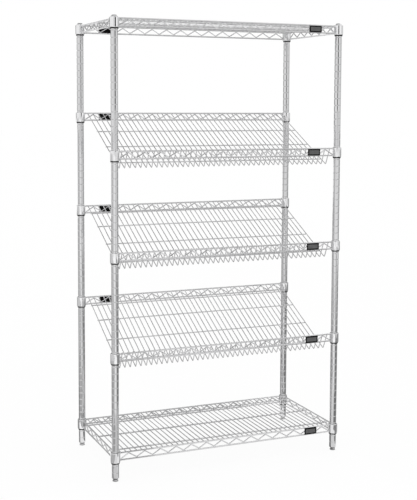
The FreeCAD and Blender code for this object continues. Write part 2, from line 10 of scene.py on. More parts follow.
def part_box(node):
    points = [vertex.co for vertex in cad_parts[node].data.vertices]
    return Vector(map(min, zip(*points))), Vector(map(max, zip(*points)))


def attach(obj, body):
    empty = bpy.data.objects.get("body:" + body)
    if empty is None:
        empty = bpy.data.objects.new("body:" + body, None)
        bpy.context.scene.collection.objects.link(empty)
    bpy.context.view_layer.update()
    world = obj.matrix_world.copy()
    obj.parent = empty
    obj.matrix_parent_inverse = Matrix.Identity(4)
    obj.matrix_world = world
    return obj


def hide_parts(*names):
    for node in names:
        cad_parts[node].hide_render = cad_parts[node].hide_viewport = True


# Chrome wire shelving unit: flat shelves at the top and bottom, three slanted shelves between.
# Metres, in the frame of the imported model: X to the right, Y to the back, Z up.

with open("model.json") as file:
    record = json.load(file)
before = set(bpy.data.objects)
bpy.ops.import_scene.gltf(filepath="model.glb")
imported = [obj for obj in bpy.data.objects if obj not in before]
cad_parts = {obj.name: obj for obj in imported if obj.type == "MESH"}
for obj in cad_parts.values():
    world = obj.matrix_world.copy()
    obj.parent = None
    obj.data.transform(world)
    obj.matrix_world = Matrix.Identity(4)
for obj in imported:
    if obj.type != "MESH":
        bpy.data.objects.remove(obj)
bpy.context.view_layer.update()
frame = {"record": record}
scene = bpy.context.scene
SLOT_OF = {part["node"]: part["material_slot"] for part in frame["record"]["subparts"]}

FLAT_SHELVES = ("top", "bottom")
SLANTED_SHELVES = ("upper", "middle", "lower")
SIDES = ("left", "right")
ENDS = ("front", "back")


def level(shelf):
    """Height of the bottom of a shelf's front sleeves."""
    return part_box(f"{shelf}_left_sleeves")[0].z


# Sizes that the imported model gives; heights on a shelf are from its level
post_low, post_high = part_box("post_front_left")
POST_RADIUS = (post_high.x - post_low.x) / 2
FRONT_LEFT = Vector(((post_low.x + post_high.x) / 2, (post_low.y + post_high.y) / 2, 0))
SPAN_X = -2 * FRONT_LEFT.x
SPAN_Y = -2 * FRONT_LEFT.y
sleeve_low, sleeve_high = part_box("top_left_sleeves")
SLEEVE_RADIUS = FRONT_LEFT.x - sleeve_low.x
SLEEVE_HEIGHT = sleeve_high.z - sleeve_low.z
collar_low, collar_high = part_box("top_left_collars")
COLLAR_RADIUS = FRONT_LEFT.x - collar_low.x
COLLAR_LOW = collar_low.z - level("top")
COLLAR_HIGH = collar_high.z - level("top")
rim_low, rim_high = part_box("top_rim_wires")
RIM_RADIUS = FRONT_LEFT.y - rim_low.y
LOW_RIM = rim_low.z + RIM_RADIUS - level("top")
TOP_RIM = rim_high.z - RIM_RADIUS - level("top")
TRUSS_RADIUS = FRONT_LEFT.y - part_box("top_truss_wires")[0].y
deck_low, deck_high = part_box("top_deck_wires")
DECK_RADIUS = (deck_high.z - deck_low.z) / 2
FLAT_DECK_HEIGHT = (deck_high.z + deck_low.z) / 2 - level("top")
support_low, support_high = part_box("top_support_wires")
SUPPORT_RADIUS = (support_high.z - support_low.z) / 2
SUPPORT_INSET = support_low.y + SUPPORT_RADIUS - FRONT_LEFT.y
cap_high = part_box("post_caps")[1].z
foot_low, foot_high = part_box("foot_front_left")
FOOT_RADIUS = (foot_high.x - foot_low.x) / 2

# Posts and caps
TUBE_WALL = 0.0015
TUBE_EDGE = 0.0006
GROOVE_PITCH = 0.0254
FIRST_GROOVE = 0.0327
GROOVE_DEPTH = 0.0008
GROOVE_HALF_WIDTH = 0.0014
GROOVE_SHOULDER = 1.5 * GROOVE_HALF_WIDTH
# A groove from its lower lip to its upper one, in shares of its half width and of its depth
GROOVE_OUTLINE = ((-1.0, 0.0), (-0.62, 0.45), (-0.28, 0.93), (0.28, 0.93), (0.62, 0.45), (1.0, 0.0))
CAP_EDGE = 0.0014
CAP_FLAT_RADIUS = 0.0055
CAP_PLUG = 0.014

# Feet and the inserts that they screw into
FOOT_DISC = 0.0025
FOOT_EDGE = 0.0006
HEX_WIDTH = 0.017
HEX_HEIGHT = 0.005
HEX_CHAMFER = math.radians(30)
STEM_RADIUS = 0.00475
THREAD_PITCH = 0.0016
THREAD_DEPTH = 0.0007
INSERT_FLANGE = 0.0025
INSERT_TAPER = 0.0022
INSERT_LENGTH = 0.024

# Corners of the shelves; the rib of a sleeve is narrower than the groove that it sits in
SLEEVE_TOP_RADIUS = 0.0139
SLEEVE_EDGE = 0.0004
HALF_SLEEVE_SWEEP = math.radians(174)
RIB_HEIGHT = 0.020
RIB_ROOT = 0.9 * GROOVE_HALF_WIDTH
RIB_TIP = 0.4 * GROOVE_HALF_WIDTH
COLLAR_EDGE = 0.0024

# Wires of the shelves
TRUSS_PERIOD = 0.060
TRUSS_BEND = 0.006
CROSS_RADIUS = 0.0021
FLAT_DECK = {"pitch": 0.020, "margin": 0.017}
SLANTED_DECK = {"pitch": 0.0201, "margin": 0.027}
DECK_SLANT = math.radians(26)
DECK_BEND = 0.005
LIP_OVERRUN = 0.001
CROSS_WIRE_SHARES = (0.11, 0.33, 0.61, 0.89)
# Ways in the (Y, Z) plane: down a slanted deck to the front, and up from it at a right angle
DOWN_SLOPE = Vector((-math.cos(DECK_SLANT), -math.sin(DECK_SLANT)))
OFF_SLOPE = Vector((-math.sin(DECK_SLANT), math.cos(DECK_SLANT)))

# Ends and welds of the wires, in shares of a wire's radius
WELD_FLARE = 1.3
BROKEN_EDGE = 0.82
END_SHARE = 0.35
NECK_SHARE = 1.2
BEAD_SHARE = 0.8

# Label holders and the blank cards in them
LABEL_LENGTH = 0.051
LABEL_HEIGHT = 0.025
LABEL_THICKNESS = 0.0026
LABEL_EDGE = 0.0005
LABEL_EDGE_CUT = 0.3 * LABEL_EDGE
LABEL_BORDER = 0.0045
LABEL_RECESS = 0.0013
LABEL_CORNER = 0.0022
LEAST_CORNER = LABEL_CORNER / 4
LABEL_SHIFT = 0.010
LABEL_CARD_THICKNESS = 0.0008
LABEL_CARD_EDGE = 0.0002
LUG_WIDTH = 0.006
LUG_THICKNESS = 0.0014
LUG_HOOK = 0.0008

# Room between pieces
PRESS_CLEARANCE = 0.0001
SEAT_CLEARANCE = 0.0003
WELD_GAP = 0.00002

# How finely the round pieces are drawn; the thread's steps are for each turn of it
WIRE_SIDES = 14
POST_SIDES = 48
THREAD_SIDES = 24
THREAD_STEPS = 8
BEAD_SIDES = 8
BEAD_RINGS = 3
BEND_STEPS = 7
EDGE_STEPS = 5
SHARP_ANGLE = math.radians(40)


def drop(shelf):
    """How much higher a shelf sits on its back posts than on its front posts."""
    low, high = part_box(f"{shelf}_left_sleeves")
    return high.z - low.z - SLEEVE_HEIGHT


def post_axis(end, side):
    """Where a post stands on the floor."""
    low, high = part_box(f"post_{end}_{side}")
    return Vector(((low.x + high.x) / 2, (low.y + high.y) / 2, 0))


# Mesh helpers

def add_object(name, data):
    """A new object in the scene."""
    obj = bpy.data.objects.new(name, data)
    scene.collection.objects.link(obj)
    return obj


def full_turn(sides):
    """Angles spread evenly over a whole turn."""
    return np.linspace(0, 2 * math.pi, sides, endpoint=False)


def polar(axis, radius, angle, height):
    """A point round an upright axis, with its height from the axis's own point."""
    return axis + Vector((radius * math.cos(angle), radius * math.sin(angle), height))


class Shape:
    """Vertices and faces that become one mesh."""

    def __init__(self):
        self.points = []
        self.faces = []

    def rings(self, loops, closed=False):
        """Skins a stack of loops of points, and caps its ends unless it closes on itself."""
        first = len(self.points)
        sides = len(loops[0])
        for loop in loops:
            self.points.extend(tuple(point) for point in loop)
        for ring in range(len(loops) if closed else len(loops) - 1):
            here = first + ring * sides
            there = first + (ring + 1) % len(loops) * sides
            for side in range(sides):
                after = (side + 1) % sides
                self.faces.append((here + side, here + after, there + after, there + side))
        if not closed:
            last = first + (len(loops) - 1) * sides
            self.faces.append(tuple(reversed(range(first, first + sides))))
            self.faces.append(tuple(range(last, last + sides)))

    def wire(self, path, radii):
        """A round wire along a path; radii is one number or one for each point."""
        path = np.array(path, float)
        radii = np.broadcast_to(radii, len(path))
        steps = np.diff(path, axis=0)
        steps /= np.linalg.norm(steps, axis=1)[:, None]
        tangents = np.vstack([steps[:1], steps[:-1] + steps[1:], steps[-1:]])
        tangents /= np.linalg.norm(tangents, axis=1)[:, None]
        normal = np.cross(tangents[0], np.eye(3)[np.argmin(np.abs(tangents[0]))])
        angles = full_turn(WIRE_SIDES)
        loops = []
        for place, tangent, radius in zip(path, tangents, radii):
            normal = normal - tangent * normal.dot(tangent)
            normal /= np.linalg.norm(normal)
            other = np.cross(tangent, normal)
            loop = np.outer(np.cos(angles), normal) + np.outer(np.sin(angles), other)
            loops.append(place + loop * radius)
        self.rings(loops)

    def lathe(self, profile, axis, sides=POST_SIDES, closed=False):
        """Turns (radius, height) pairs about an upright axis."""
        loops = []
        for radius, height in profile:
            loops.append([polar(axis, radius, angle, height) for angle in full_turn(sides)])
        self.rings(loops, closed)

    def sector(self, profile, axis, middle, sweep, steps):
        """Turns a closed outline of (radius, height) pairs through part of a turn."""
        loops = []
        for angle in np.linspace(middle - sweep / 2, middle + sweep / 2, steps):
            loops.append([polar(axis, radius, angle, height) for radius, height in profile])
        self.rings(loops)

    def bead(self, place, radius):
        """A weld: a small round lump."""
        tilts = np.linspace(0, math.pi, BEAD_RINGS + 2)[1:-1]
        profile = [(radius * math.sin(tilt), -radius * math.cos(tilt)) for tilt in tilts]
        self.lathe(profile, place, BEAD_SIDES)

    def make(self, name):
        """The finished object, smooth but for its real edges."""
        mesh = bpy.data.meshes.new(name)
        mesh.from_pydata(self.points, [], self.faces)
        work = bmesh.new()
        work.from_mesh(mesh)
        bmesh.ops.recalc_face_normals(work, faces=work.faces)
        work.to_mesh(mesh)
        work.free()
        mesh.shade_smooth()
        mesh.set_sharp_from_angle(angle=SHARP_ANGLE)
        return add_object(name, mesh)


def dress(shape, node, body):
    """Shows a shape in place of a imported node, with the finish of the node's slot."""
    obj = shape.make(f"{node}_drawn")
    obj.data.materials.append(FINISH[SLOT_OF[node]])
    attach(obj, body)
    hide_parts(node)


# Materials

# Scales of the noises, for coordinates in metres: larger is finer
CLOUD_SCALE = 40
SMEAR_SCALE = 110
GROUND_SCALE = 170
SHADE_SCALE = 60
GLOSS_SCALE = 140
PIT_SCALE = 2600
# Most of a noise lies between these values
NOISE_RANGE = (0.3, 0.7)
# Strength and depth of the unevenness under the plating, and strength of the plastic's grain
GROUND_STRENGTH = 0.10
GROUND_DEPTH = 0.0003
PIT_STRENGTH = 0.25
# The metal and the plastic are greys with a trace of blue
BLUE_TRACE = 1.01
# Scale of a noise along each axis; on the posts it is drawn out lengthwise
EVEN = (1, 1, 1)
LENGTHWISE = (1, 1, 0.06)


class Look:
    """A material, and the nodes that are added to it."""

    def __init__(self, name):
        self.material = bpy.data.materials.new(name)
        self.material.use_nodes = True
        self.tree = self.material.node_tree
        self.shader = self.tree.nodes["Principled BSDF"]
        self.surface = self.tree.nodes["Material Output"].inputs["Surface"]

    def add(self, kind, **settings):
        """A new node, with values for its sockets or settings."""
        node = self.tree.nodes.new(kind)
        for key, setting in settings.items():
            if key in node.inputs:
                node.inputs[key].default_value = setting
            else:
                setattr(node, key, setting)
        return node

    def link(self, source, target):
        """Joins an output to an input."""
        self.tree.links.new(source, target)

    def noise(self, scale, stretch=EVEN, detail=3.0):
        """Noise fixed to the piece itself."""
        place = self.add("ShaderNodeTexCoord")
        mapping = self.add("ShaderNodeMapping", Scale=stretch)
        texture = self.add("ShaderNodeTexNoise", Scale=scale, Detail=detail)
        self.link(place.outputs["Object"], mapping.inputs["Vector"])
        self.link(mapping.outputs["Vector"], texture.inputs["Vector"])
        return texture.outputs["Fac"]

    def tint(self, noise, tones):
        """Lets a noise shift the colour between a darker and a lighter grey."""
        node = self.add("ShaderNodeValToRGB")
        for stop, place, tone in zip(node.color_ramp.elements, NOISE_RANGE, tones):
            stop.position = place
            stop.color = (tone, tone, tone * BLUE_TRACE, 1)
        self.link(noise, node.inputs["Fac"])
        self.link(node.outputs["Color"], self.shader.inputs["Base Color"])

    def roughen(self, noise, roughness):
        """Lets a noise shift the roughness between two values."""
        low, high = NOISE_RANGE
        smooth, rough = roughness
        limits = {"From Min": low, "From Max": high, "To Min": smooth, "To Max": rough}
        node = self.add("ShaderNodeMapRange", **limits)
        self.link(noise, node.inputs["Value"])
        self.link(node.outputs["Result"], self.shader.inputs["Roughness"])

    def bump(self, noise, strength, depth):
        """Small unevenness from a noise."""
        node = self.add("ShaderNodeBump", Strength=strength, Distance=depth)
        self.link(noise, node.inputs["Height"])
        self.link(node.outputs["Normal"], self.shader.inputs["Normal"])


def chrome(slot, tones, roughness, stretch=EVEN):
    """Plated metal: faint clouds and smears over a ground that isn't quite even."""
    look = Look(slot)
    look.shader.inputs["Metallic"].default_value = 1
    look.tint(look.noise(CLOUD_SCALE, stretch), tones)
    look.roughen(look.noise(SMEAR_SCALE, stretch), roughness)
    look.bump(look.noise(GROUND_SCALE, stretch, detail=2.0), GROUND_STRENGTH, GROUND_DEPTH)
    return look.material


def plastic(slot, tones, roughness, grain, gloss):
    """Moulded plastic with a fine grain."""
    look = Look(slot)
    look.shader.inputs["Specular IOR Level"].default_value = gloss
    look.tint(look.noise(SHADE_SCALE), tones)
    look.roughen(look.noise(GLOSS_SCALE), roughness)
    look.bump(look.noise(PIT_SCALE, detail=1.0), PIT_STRENGTH, grain)
    return look.material


METALS = {
    "post_chrome": {"tones": (0.74, 0.80), "roughness": (0.04, 0.08), "stretch": LENGTHWISE},
    "cap_chrome": {"tones": (0.92, 0.97), "roughness": (0.06, 0.10)},
    "collar_chrome": {"tones": (0.92, 0.97), "roughness": (0.08, 0.14)},
    "wire_chrome": {"tones": (0.82, 0.88), "roughness": (0.05, 0.10)},
    "zinc_steel": {"tones": (0.48, 0.60), "roughness": (0.26, 0.40)},
}
PLASTICS = {
    "sleeve_plastic": {"tones": (0.005, 0.009), "roughness": (0.42, 0.56), "grain": 0.0001, "gloss": 0.04},
    "label_plastic": {"tones": (0.004, 0.007), "roughness": (0.34, 0.48), "grain": 0.00004, "gloss": 0.03},
    "label_card": {"tones": (0.095, 0.125), "roughness": (0.55, 0.70), "grain": 0.00008, "gloss": 0.10},
}
FINISH = {slot: chrome(slot, **values) for slot, values in METALS.items()}
FINISH.update({slot: plastic(slot, **values) for slot, values in PLASTICS.items()})


# Posts, caps, inserts and feet

def round_edges(radius, low, high, inset, rise):
    """The rounded lower and upper edge of a round piece, as (radius, height) pairs going up."""
    lower, upper = [], []
    for turn in np.linspace(0, math.pi / 2, EDGE_STEPS):
        across = radius - inset * (1 - math.sin(turn))
        along = rise * (1 - math.cos(turn))
        lower.append((across, low + along))
        upper.append((across, high - along))
    return lower, upper[::-1]


def post_profile():
    """A tube with a rolled groove at every inch."""
    low, high = post_low.z, post_high.z
    bore = POST_RADIUS - TUBE_WALL
    lower_edge, upper_edge = round_edges(POST_RADIUS, low, high, TUBE_EDGE, TUBE_EDGE)
    profile = [(bore, low), *lower_edge]
    for groove in range(int((high - FIRST_GROOVE) / GROOVE_PITCH) + 1):
        centre = FIRST_GROOVE + groove * GROOVE_PITCH
        profile.append((POST_RADIUS, centre - GROOVE_SHOULDER))
        for along, depth in GROOVE_OUTLINE:
            profile.append((POST_RADIUS - GROOVE_DEPTH * depth, centre + GROOVE_HALF_WIDTH * along))
        profile.append((POST_RADIUS, centre + GROOVE_SHOULDER))
    return [*profile, *upper_edge, (bore, high)]


def cap_profile():
    """A plug and a dome that runs into a small flat."""
    height = cap_high - post_high.z
    plug = POST_RADIUS - TUBE_WALL - PRESS_CLEARANCE
    rise = height - CAP_EDGE
    run = POST_RADIUS - CAP_FLAT_RADIUS
    radius = (rise ** 2 + run ** 2) / (2 * rise)
    centre = height - radius
    profile = [(plug, -CAP_PLUG), (plug, 0), (POST_RADIUS, 0)]
    for angle in np.linspace(math.asin(run / radius), 0, 2 * BEND_STEPS):
        profile.append((CAP_FLAT_RADIUS + radius * math.sin(angle), centre + radius * math.cos(angle)))
    return profile


def insert_profile():
    """A flanged bush in the end of the tube."""
    bore = STEM_RADIUS + SEAT_CLEARANCE
    plug = POST_RADIUS - TUBE_WALL - PRESS_CLEARANCE
    return [(bore, -INSERT_FLANGE), (POST_RADIUS - INSERT_TAPER, -INSERT_FLANGE), (POST_RADIUS, 0),
            (plug, 0), (plug, INSERT_LENGTH), (bore, INSERT_LENGTH)]


def hexagon(shape, axis, low, high):
    """The hexagon of a foot, its corners turned off at the top and bottom."""
    inner = HEX_WIDTH / 2
    corner = HEX_WIDTH / math.sqrt(3)
    chamfer = (corner - inner) * math.tan(HEX_CHAMFER)
    sixth = math.pi / 3
    levels = ((low, inner), (low + chamfer, corner), (high - chamfer, corner), (high, inner))
    loops = []
    for height, limit in levels:
        loop = []
        for angle in full_turn(2 * POST_SIDES):
            off_flat = angle % sixth - sixth / 2
            loop.append(polar(axis, min(inner / math.cos(off_flat), limit), angle, height))
        loops.append(loop)
    shape.rings(loops)


def threaded_stem(shape, axis, low, high):
    """A stem with a screw thread that runs out at both ends."""
    loops = []
    count = int((high - low) / THREAD_PITCH * THREAD_STEPS)
    for step in range(count + 1):
        height = low + (high - low) * step / count
        fade = min(1, (height - low) / THREAD_PITCH, (high - height) / THREAD_PITCH)
        loop = []
        for angle in full_turn(THREAD_SIDES):
            phase = (height / THREAD_PITCH - angle / (2 * math.pi)) % 1
            depth = THREAD_DEPTH * (1 - abs(2 * phase - 1))
            radius = STEM_RADIUS - THREAD_DEPTH + (THREAD_DEPTH - depth) * fade
            loop.append(polar(axis, radius, angle, height))
        loops.append(loop)
    shape.rings(loops)


def make_foot(end, side):
    """A levelling foot: disc, hexagon and threaded stem."""
    axis = post_axis(end, side)
    shape = Shape()
    lower_edge, upper_edge = round_edges(FOOT_RADIUS, 0, FOOT_DISC, FOOT_EDGE, FOOT_EDGE)
    shape.lathe(lower_edge + upper_edge, axis)
    hexagon(shape, axis, FOOT_DISC, FOOT_DISC + HEX_HEIGHT)
    threaded_stem(shape, axis, FOOT_DISC + HEX_HEIGHT, foot_high.z)
    dress(shape, f"foot_{end}_{side}", f"foot_{end}_{side}")


def make_posts():
    """The four posts, with the caps, inserts and feet at their ends."""
    caps, inserts = Shape(), Shape()
    for end in ENDS:
        for side in SIDES:
            axis = post_axis(end, side)
            post = Shape()
            post.lathe(post_profile(), axis, closed=True)
            dress(post, f"post_{end}_{side}", "frame")
            caps.lathe(cap_profile(), axis + Vector((0, 0, post_high.z)))
            inserts.lathe(insert_profile(), axis + Vector((0, 0, post_low.z)), closed=True)
            make_foot(end, side)
    dress(caps, "post_caps", "frame")
    dress(inserts, "foot_inserts", "frame")


# Corners of the shelves

def sleeve_profile():
    """Half of a split sleeve, cut through: a taper with a rib inside."""
    bore = POST_RADIUS + PRESS_CLEARANCE
    ridge = bore - GROOVE_DEPTH
    return [(bore, 0), (SLEEVE_RADIUS - SLEEVE_EDGE, 0), (SLEEVE_RADIUS, SLEEVE_EDGE),
            (SLEEVE_TOP_RADIUS, SLEEVE_HEIGHT - SLEEVE_EDGE),
            (SLEEVE_TOP_RADIUS - SLEEVE_EDGE, SLEEVE_HEIGHT), (bore, SLEEVE_HEIGHT),
            (bore, RIB_HEIGHT + RIB_ROOT), (ridge, RIB_HEIGHT + RIB_TIP),
            (ridge, RIB_HEIGHT - RIB_TIP), (bore, RIB_HEIGHT - RIB_ROOT)]


def collar_profile():
    """A collar with rounded ends, bored to the taper of the sleeves."""
    taper = (SLEEVE_RADIUS - SLEEVE_TOP_RADIUS) / SLEEVE_HEIGHT
    inset = COLLAR_EDGE / 2
    lower_edge, upper_edge = round_edges(COLLAR_RADIUS, COLLAR_LOW, COLLAR_HIGH, inset, COLLAR_EDGE)
    low_bore, high_bore = [(SLEEVE_RADIUS - taper * height + SEAT_CLEARANCE, height)
                           for height in (COLLAR_LOW, COLLAR_HIGH)]
    return [low_bore, *lower_edge, *upper_edge, high_bore]


def make_corners(shelf):
    """Sleeves and collars of a shelf, on the left and on the right."""
    for side in SIDES:
        sleeves, collars = Shape(), Shape()
        for end, lift in zip(ENDS, (0, drop(shelf))):
            place = post_axis(end, side) + Vector((0, 0, level(shelf) + lift))
            for middle in (0, math.pi):
                sleeves.sector(sleeve_profile(), place, middle, HALF_SLEEVE_SWEEP, POST_SIDES // 2)
            collars.lathe(collar_profile(), place, closed=True)
        dress(sleeves, f"{shelf}_{side}_sleeves", "frame")
        dress(collars, f"{shelf}_{side}_collars", f"{shelf}_shelf")


# Wires of the shelves

def placed(shelf, points):
    """Points drawn from the front left post's axis and the shelf's level, put in the frame."""
    shift = FRONT_LEFT + Vector((0, 0, level(shelf)))
    return [Vector(point) + shift for point in points]


def straight(shape, shelf, start, end, radius, flare=1.0):
    """A straight wire; a flare above 1 swells its ends into a weld, one below 1 breaks their edge."""
    start, end = Vector(start), Vector(end)
    along = (end - start).normalized() * radius
    path = (start, start + along * END_SHARE, start + along * NECK_SHARE, (start + end) / 2,
            end - along * NECK_SHARE, end - along * END_SHARE, end)
    swell = radius * (1 + flare) / 2
    radii = (radius * flare, swell, radius, radius, radius, swell, radius * flare)
    shape.wire(placed(shelf, path), radii)


def trusses(shelf):
    """Each truss of a shelf: where it starts, the way that it runs and its span."""
    along_x, along_y = Vector((1, 0, 0)), Vector((0, 1, 0))
    found = [(Vector((0, 0, 0)), along_x, SPAN_X),
             (Vector((0, SPAN_Y, drop(shelf))), along_x, SPAN_X)]
    if shelf in FLAT_SHELVES:
        found += [(Vector((x, 0, 0)), along_y, SPAN_Y) for x in (0, SPAN_X)]
    return found


def on_truss(start, way, pairs):
    """Points of a truss from (distance, height) pairs."""
    return [start + way * distance + Vector((0, 0, height)) for distance, height in pairs]


def make_rims(shelf):
    """Rim wires of the trusses, welded to the collars."""
    shape = Shape()
    reach = COLLAR_RADIUS + WELD_GAP
    for start, way, span in trusses(shelf):
        for height in (LOW_RIM, TOP_RIM):
            first, last = on_truss(start, way, ((reach, height), (span - reach, height)))
            straight(shape, shelf, first, last, RIM_RADIUS, WELD_FLARE)
    dress(shape, f"{shelf}_rim_wires", f"{shelf}_shelf")


def truss_bends(span):
    """Distances of the bends of a truss wire along its span, the low ones first and last."""
    waves = int((span - 2 * COLLAR_RADIUS) / TRUSS_PERIOD)
    start = (span - waves * TRUSS_PERIOD) / 2
    return [start + half * TRUSS_PERIOD / 2 for half in range(2 * waves + 1)]


def zigzag(span):
    """A truss wire's path along its span, as (distance, height) pairs, with round bends."""
    bends = truss_bends(span)
    reach = RIM_RADIUS + TRUSS_RADIUS + WELD_GAP
    low = LOW_RIM + reach + TRUSS_BEND
    high = TOP_RIM - reach - TRUSS_BEND
    across = Vector((TRUSS_PERIOD / 2, high - low))
    # The straight runs touch the bends at both of their ends
    lean = math.atan2(across.y, across.x) + math.asin(2 * TRUSS_BEND / across.length)
    path = []
    for number, distance in enumerate(bends):
        upward = 1 if number % 2 else -1
        centre = high if number % 2 else low
        begin = 0 if number == 0 else -lean
        finish = 0 if number == len(bends) - 1 else lean
        for angle in np.linspace(begin, finish, BEND_STEPS):
            path.append((distance + math.sin(angle) * TRUSS_BEND,
                         centre + upward * math.cos(angle) * TRUSS_BEND))
    return path


def truss_welds(span):
    """Where a truss wire's bends touch the rims, as (distance, height) pairs."""
    rims = (LOW_RIM + RIM_RADIUS, TOP_RIM - RIM_RADIUS)
    return [(distance, rims[number % 2]) for number, distance in enumerate(truss_bends(span))]


def make_trusses(shelf):
    """The bent wires between the rims, with their welds."""
    shape = Shape()
    for start, way, span in trusses(shelf):
        shape.wire(placed(shelf, on_truss(start, way, zigzag(span))), TRUSS_RADIUS)
        for place in placed(shelf, on_truss(start, way, truss_welds(span))):
            shape.bead(place, BEAD_SHARE * TRUSS_RADIUS)
    dress(shape, f"{shelf}_truss_wires", f"{shelf}_shelf")


def deck_places(deck):
    """Distances of the deck wires from the left post's axis."""
    rounding = 1e-6
    gaps = int((SPAN_X - 2 * deck["margin"]) / deck["pitch"] + rounding)
    start = (SPAN_X - gaps * deck["pitch"]) / 2
    return [start + wire * deck["pitch"] for wire in range(gaps + 1)]


def make_flat_deck(shelf):
    """Deck wires welded between the top rims, and the long wires that carry them."""
    deck, supports = Shape(), Shape()
    end = RIM_RADIUS + WELD_GAP
    lines = (SUPPORT_INSET, SPAN_Y / 2, SPAN_Y - SUPPORT_INSET)
    height = FLAT_DECK_HEIGHT
    contact = height - DECK_RADIUS
    for x in deck_places(FLAT_DECK):
        straight(deck, shelf, (x, end, height), (x, SPAN_Y - end, height), DECK_RADIUS, WELD_FLARE)
        for place in placed(shelf, [(x, y, contact) for y in lines]):
            deck.bead(place, BEAD_SHARE * DECK_RADIUS)
    low = contact - SUPPORT_RADIUS - WELD_GAP
    for y in lines:
        straight(supports, shelf, (end, y, low), (SPAN_X - end, y, low), SUPPORT_RADIUS)
    dress(deck, f"{shelf}_deck_wires", f"{shelf}_shelf")
    dress(supports, f"{shelf}_support_wires", f"{shelf}_shelf")


def slanted_path(shelf):
    """A slanted deck wire seen from the side: its back end, its length, and its path as (Y, Z)."""
    back = Vector((SPAN_Y, drop(shelf) + TOP_RIM)) + DOWN_SLOPE * (RIM_RADIUS + WELD_GAP)
    side = RIM_RADIUS + DECK_RADIUS + WELD_GAP
    lip_end = Vector((0, TOP_RIM)) - DOWN_SLOPE * side + OFF_SLOPE * LIP_OVERRUN
    length = (lip_end - back).dot(DOWN_SLOPE)
    corner = back + DOWN_SLOPE * length
    centre = corner + (OFF_SLOPE - DOWN_SLOPE) * DECK_BEND
    bend = []
    for turn in np.linspace(0, math.pi / 2, BEND_STEPS):
        bend.append(centre + (DOWN_SLOPE * math.sin(turn) - OFF_SLOPE * math.cos(turn)) * DECK_BEND)
    edge = DECK_RADIUS * END_SHARE
    path = [back, back + DOWN_SLOPE * edge, (back + bend[0]) / 2, *bend,
            lip_end - OFF_SLOPE * edge, lip_end]
    return back, length, path


def make_slanted_deck(shelf):
    """Bent deck wires with their lip at the front, and the long wires under them."""
    deck, cross = Shape(), Shape()
    back, length, path = slanted_path(shelf)
    radii = [DECK_RADIUS] * len(path)
    radii[0] *= WELD_FLARE
    radii[-1] *= BROKEN_EDGE
    places = deck_places(SLANTED_DECK)
    lines = [back + DOWN_SLOPE * (share * length) for share in CROSS_WIRE_SHARES]
    contacts = [line - OFF_SLOPE * DECK_RADIUS for line in lines]
    contacts.append(Vector((0, TOP_RIM)) - DOWN_SLOPE * RIM_RADIUS)
    for x in places:
        deck.wire(placed(shelf, [(x, y, z) for y, z in path]), radii)
        for place in placed(shelf, [(x, y, z) for y, z in contacts]):
            deck.bead(place, BEAD_SHARE * DECK_RADIUS)
    for line in lines:
        y, z = line - OFF_SLOPE * (DECK_RADIUS + CROSS_RADIUS + WELD_GAP)
        start = (places[0] - DECK_RADIUS, y, z)
        end = (places[-1] + DECK_RADIUS, y, z)
        straight(cross, shelf, start, end, CROSS_RADIUS, BROKEN_EDGE)
    dress(deck, f"{shelf}_deck_wires", f"{shelf}_shelf")
    dress(cross, f"{shelf}_cross_wires", f"{shelf}_shelf")


# Label holders and their blank cards

def rounded_rectangle(width, height, radius):
    """Points round a rectangle with rounded corners, about its middle."""
    points = []
    for quarter, (x, y) in enumerate(((1, 1), (-1, 1), (-1, -1), (1, -1))):
        centre = Vector((x * (width / 2 - radius), y * (height / 2 - radius)))
        for turn in np.linspace(0, math.pi / 2, EDGE_STEPS):
            angle = quarter * math.pi / 2 + turn
            points.append(centre + Vector((math.cos(angle), math.sin(angle))) * radius)
    return points


def plate(shape, shelf, middle, facing, seat, layers):
    """A plate on a truss: a stack of rounded outlines, each a (depth, inset) pair."""
    loops = []
    for depth, inset in layers:
        corner = max(LABEL_CORNER - inset, LEAST_CORNER)
        outline = rounded_rectangle(LABEL_LENGTH - 2 * inset, LABEL_HEIGHT - 2 * inset, corner)
        y = middle.y + facing * (seat + depth)
        loops.append(placed(shelf, [(middle.x - facing * u, y, middle.z + v) for u, v in outline]))
    shape.rings(loops)


def lug(shape, shelf, x, base, facing, rim, away):
    """A hook behind a holder that grips a rim wire."""
    grip = RIM_RADIUS + PRESS_CLEARANCE
    near = rim - away * grip
    far = near - away * LUG_THICKNESS
    hook = near + away * LUG_HOOK
    outer = -grip - LUG_THICKNESS
    outline = ((grip, far), (outer, far), (outer, hook), (-grip, hook), (-grip, near), (grip, near))
    loops = []
    for side_x in (x - LUG_WIDTH / 2, x + LUG_WIDTH / 2):
        loops.append(placed(shelf, [(side_x, base + facing * across, z) for across, z in outline]))
    shape.rings(loops)


def holder_layers():
    """A holder from its back to the floor of its recess."""
    front = LABEL_THICKNESS
    return ((0, LABEL_EDGE), (LABEL_EDGE, 0), (front - LABEL_EDGE, 0),
            (front - LABEL_EDGE_CUT, LABEL_EDGE_CUT), (front, LABEL_EDGE),
            (front, LABEL_BORDER - LABEL_EDGE), (front - LABEL_EDGE, LABEL_BORDER),
            (front - LABEL_RECESS, LABEL_BORDER))


def label_card_layers():
    """A blank card that fills the recess of a holder."""
    inset = LABEL_BORDER + PRESS_CLEARANCE
    return ((0, inset), (LABEL_CARD_THICKNESS - LABEL_CARD_EDGE, inset),
            (LABEL_CARD_THICKNESS, inset + LABEL_CARD_EDGE))


